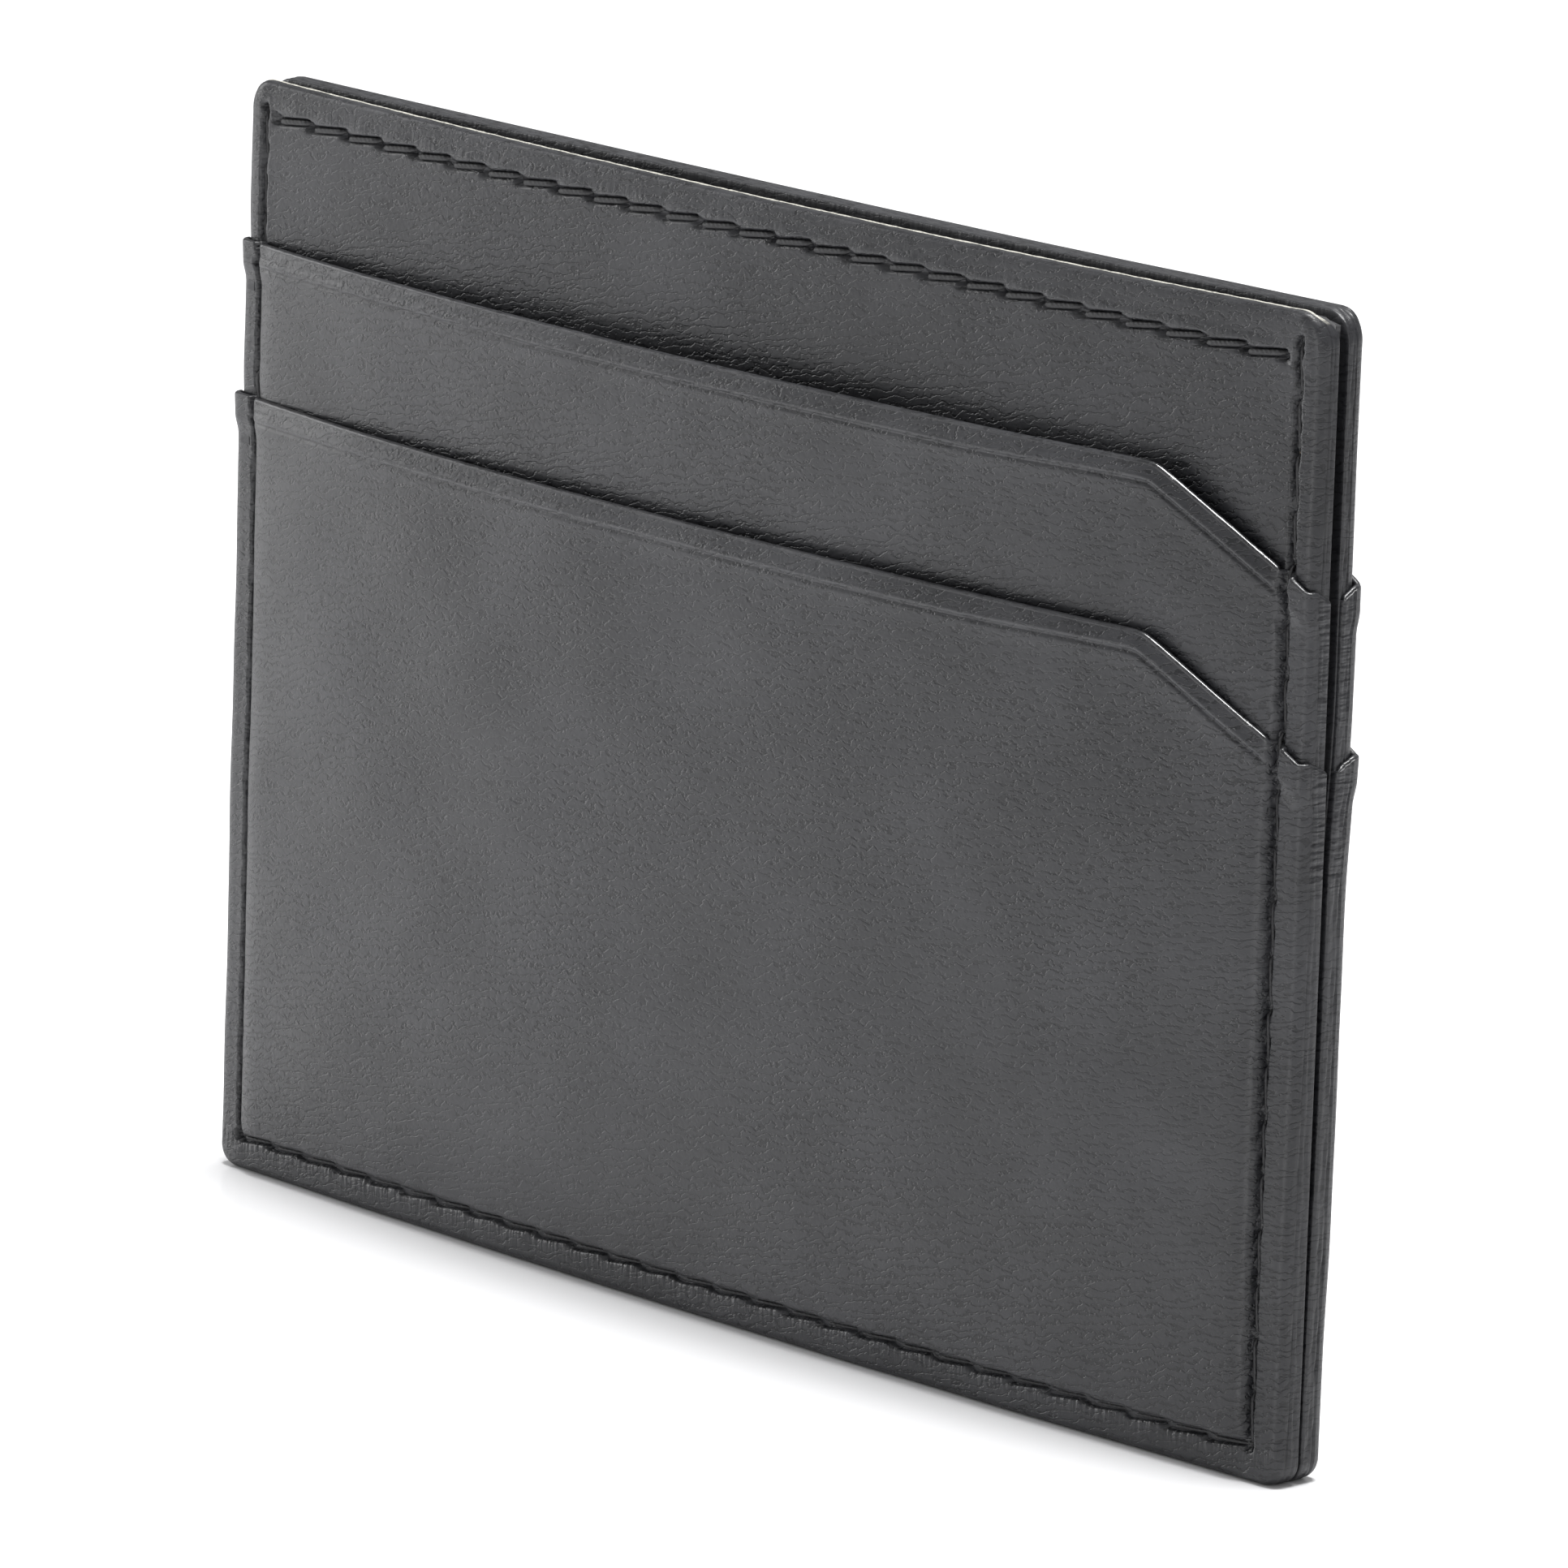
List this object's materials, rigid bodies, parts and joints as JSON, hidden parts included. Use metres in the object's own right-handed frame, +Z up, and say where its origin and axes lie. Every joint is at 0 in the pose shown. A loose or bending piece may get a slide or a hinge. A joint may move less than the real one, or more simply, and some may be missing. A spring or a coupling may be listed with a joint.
{
  "type": "card holder",
  "caption": "Flat leather card holder with stepped card pockets on both faces, cut-away pocket corners, sewn edges and an open-topped middle pocket.",
  "frame": {"origin": "middle of the bottom edge of the whole holder, on the plane that it stands on", "axes": "+X across the width, towards the cut-away pocket corners; +Z up, out of the pockets' mouths; -Y out of the front face"},
  "size_m": [0.1012, 0.0098, 0.075],
  "materials": {
    "calf_leather": "smooth fine-grained black calf, soft satin",
    "stiffener_board": "bonded fibre board",
    "lining_cloth": "plain woven black lining",
    "pocket_cloth": "plain woven black pocketing",
    "sewing_thread": "bonded polyester thread, black"
  },
  "bodies": {
    "root": {"front_panel": "calf_leather", "front_stiffener": "stiffener_board", "front_lining": "lining_cloth", "front_upper_pocket": "calf_leather", "front_upper_pocket_lining": "pocket_cloth", "front_lower_pocket": "calf_leather", "front_lower_pocket_lining": "pocket_cloth", "front_hem_thread": "sewing_thread", "front_hem_bobbin_thread": "sewing_thread", "front_pocket_floor_thread": "sewing_thread", "back_panel": "calf_leather", "back_stiffener": "stiffener_board", "back_lining": "lining_cloth", "back_upper_pocket": "calf_leather", "back_upper_pocket_lining": "pocket_cloth", "back_lower_pocket": "calf_leather", "back_lower_pocket_lining": "pocket_cloth", "back_hem_thread": "sewing_thread", "back_hem_bobbin_thread": "sewing_thread", "back_pocket_floor_thread": "sewing_thread", "seam_needle_thread": "sewing_thread", "seam_bobbin_thread": "sewing_thread"}
  },
  "joints": []
}
